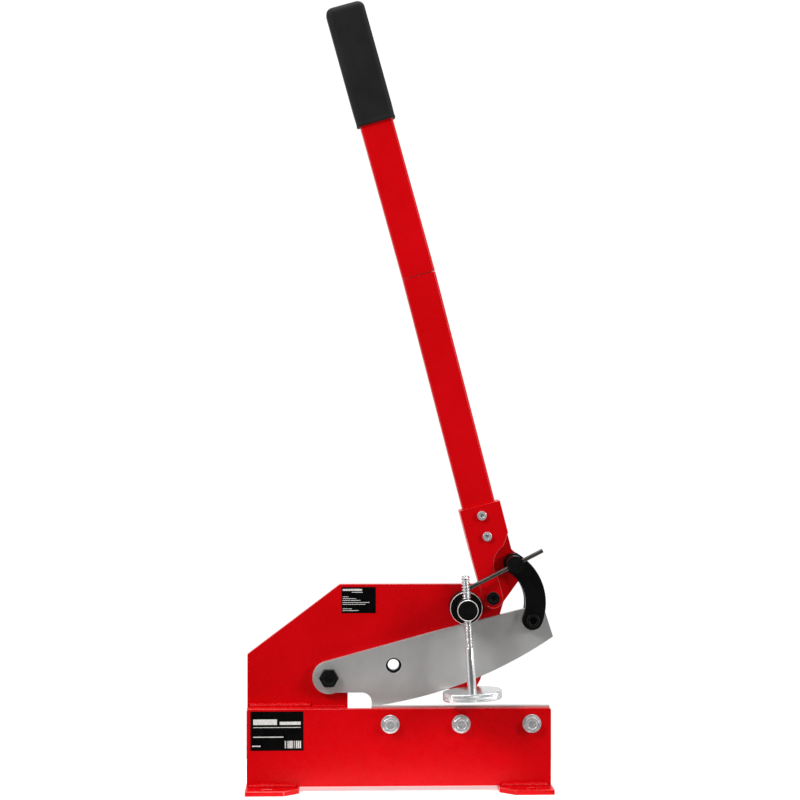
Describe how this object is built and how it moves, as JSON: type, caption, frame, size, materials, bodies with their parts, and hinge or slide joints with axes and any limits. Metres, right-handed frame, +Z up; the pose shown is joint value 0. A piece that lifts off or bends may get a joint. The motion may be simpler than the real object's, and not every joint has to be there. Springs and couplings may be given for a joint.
{
  "type": "bench lever shear",
  "caption": "Bench hand lever shear for sheet metal: fixed lower blade, pivoted upper blade, curved link pair, long lever and a screw hold-down on a welded base.",
  "frame": {"origin": "on the floor, at the centre of the four bolt holes in the feet, in the plane where the blades meet", "axes": "+X along the blades from the blade pivot to the lever side, +Y to the back, +Z up"},
  "size_m": [0.4316, 0.14, 1.1061],
  "materials": {
    "red_paint": "gloss",
    "blade_steel": "satin",
    "zinc_plate": "bright",
    "plain_steel": "satin",
    "black_steel": "satin",
    "black_paint": "satin",
    "grip_rubber": "matte",
    "plug_plastic": "matte",
    "label_film": "gloss"
  },
  "bodies": {
    "frame": {"front_plate": "red_paint", "upright_plate": "red_paint", "bar_hole_insert": "black_steel", "spacer_block": "red_paint", "tie_block": "red_paint", "left_foot": "red_paint", "right_foot": "red_paint", "weld_beads": "red_paint", "lower_blade": "blade_steel", "blade_bolts": "zinc_plate", "blade_pivot_bolt": "black_steel", "blade_pivot_bush": "plain_steel", "blade_pivot_washer": "zinc_plate", "blade_pivot_nut": "black_steel", "lever_pivot_bolt": "black_steel", "lever_pivot_bush": "plain_steel", "lever_pivot_washer": "zinc_plate", "lever_pivot_nut": "black_steel", "hold_down_boss": "black_steel", "base_label": "label_film", "upright_label": "label_film"},
    "upper_blade": {"upper_blade": "blade_steel", "link_pin_bush": "plain_steel"},
    "lever": {"lever_ear_plate": "red_paint", "lever_core_plate": "red_paint", "lever_front_plate": "red_paint", "lever_back_plate": "red_paint", "lower_tube": "red_paint", "tube_joiner": "plain_steel", "upper_tube": "red_paint", "tube_end_plug": "plug_plastic", "grip": "grip_rubber", "socket_bolts": "zinc_plate", "socket_nuts": "zinc_plate"},
    "links": {"front_link": "black_paint", "rear_link": "black_paint", "link_low_screw": "black_steel", "link_low_nut": "black_steel", "lock_nut": "black_steel"},
    "lock_screw": {"lock_screw": "black_steel"},
    "tommy_bar": {"tommy_bar": "plain_steel"},
    "hold_down_stud": {"hold_down_stud": "black_steel", "stud_washer": "zinc_plate", "stud_nut": "black_steel"},
    "hold_down_screw": {"hold_down_screw": "zinc_plate"},
    "hold_down_disc": {"hold_down_disc": "zinc_plate"}
  },
  "joints": [
    {"name": "lever_swing", "type": "hinge", "parent": "frame", "child": "lever", "pos_m": [0.1314, 0, 0.2686], "axis": [0, 1, 0], "range_deg": [0, 110]},
    {"name": "blade_swing", "type": "hinge", "parent": "frame", "child": "upper_blade", "pos_m": [-0.098, 0, 0.156], "axis": [0, 1, 0], "range_deg": [0, 17.7]},
    {"name": "link_swing", "type": "hinge", "parent": "lever", "child": "links", "pos_m": [0.1613, 0, 0.31656], "axis": [0, 1, 0], "range_deg": [-115, 0]},
    {"name": "lock_screw_turn", "type": "hinge", "parent": "lever", "child": "lock_screw", "pos_m": [0.1613, 0, 0.31656], "axis": [0, 1, 0], "range_deg": [0, 90]},
    {"name": "tommy_slide", "type": "slide", "parent": "lock_screw", "child": "tommy_bar", "axis": [0.891, 0, 0.454], "range_m": [-0.012, 0.034]},
    {"name": "stud_swivel", "type": "hinge", "parent": "frame", "child": "hold_down_stud", "pos_m": [0.0935, 0, 0.2553], "axis": [0, 1, 0], "range_deg": [-20, 60]},
    {"name": "screw_feed", "type": "slide", "parent": "hold_down_stud", "child": "hold_down_screw", "axis": [-0.0593, 0, 0.9982], "range_m": [-0.0076, 0.0331]},
    {"name": "disc_spin", "type": "hinge", "parent": "hold_down_screw", "child": "hold_down_disc", "pos_m": [0.1005, -0.044, 0.13751], "axis": [-0.0593, 0, 0.9982], "range_deg": [-675, 2970]}
  ],
  "couplings": [
    {"joint": "blade_swing", "follows": "lever_swing", "ratio": 0.16006},
    {"joint": "link_swing", "follows": "lever_swing", "ratio": -1.041},
    {"joint": "screw_feed", "follows": "disc_spin", "m_per_rad": 0.00063662}
  ]
}
